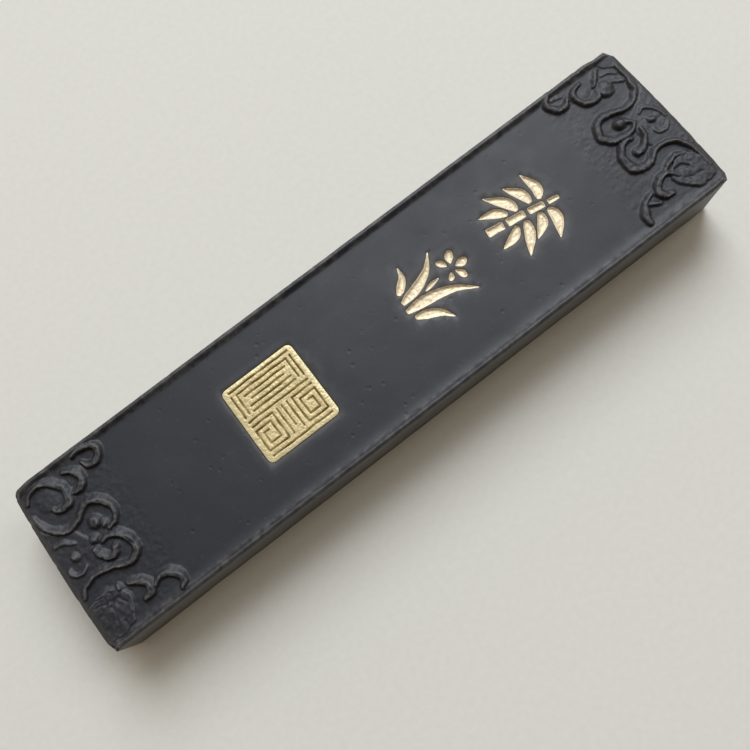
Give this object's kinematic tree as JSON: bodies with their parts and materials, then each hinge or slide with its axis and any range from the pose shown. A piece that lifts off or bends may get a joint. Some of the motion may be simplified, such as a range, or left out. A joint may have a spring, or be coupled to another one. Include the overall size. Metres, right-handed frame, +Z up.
{
  "type": "ink stick",
  "caption": "Rectangular pressed ink stick with long rims, a sunken panel, moulded cloud scrolls at both ends, a gilt fret square and gilt brush-drawn plant motifs.",
  "frame": {"origin": "centre of the flat underside", "axes": "+X along the stick towards the end beside the bamboo motif, +Y across the face, +Z up out of the gilded face"},
  "size_m": [0.1564, 0.0386, 0.0164],
  "materials": {
    "ink": "pressed soot and glue, dull sheen with fine pits, greyer on worn edges",
    "gilt_seal": "gold powder paint, matte and grainy, yellower",
    "gilt_strokes": "gold powder paint, matte and grainy, paler"
  },
  "bodies": {
    "root": {"ink_cake": "ink", "gilt_seal_fret": "gilt_seal", "gilt_bamboo_stalk_1": "gilt_strokes", "gilt_bamboo_stalk_2": "gilt_strokes", "gilt_bamboo_stalk_3": "gilt_strokes", "gilt_bamboo_stalk_4": "gilt_strokes", "gilt_bamboo_leaf_1": "gilt_strokes", "gilt_bamboo_leaf_2": "gilt_strokes", "gilt_bamboo_leaf_3": "gilt_strokes", "gilt_bamboo_leaf_4": "gilt_strokes", "gilt_bamboo_leaf_5": "gilt_strokes", "gilt_bamboo_leaf_6": "gilt_strokes", "gilt_bamboo_leaf_7": "gilt_strokes", "gilt_bamboo_leaf_8": "gilt_strokes", "gilt_orchid_leaf_1": "gilt_strokes", "gilt_orchid_leaf_2": "gilt_strokes", "gilt_orchid_leaf_3": "gilt_strokes", "gilt_orchid_leaf_4": "gilt_strokes", "gilt_orchid_stem": "gilt_strokes", "gilt_orchid_petal_1": "gilt_strokes", "gilt_orchid_petal_2": "gilt_strokes", "gilt_orchid_petal_3": "gilt_strokes", "gilt_orchid_petal_4": "gilt_strokes", "gilt_orchid_petal_5": "gilt_strokes"}
  },
  "joints": []
}
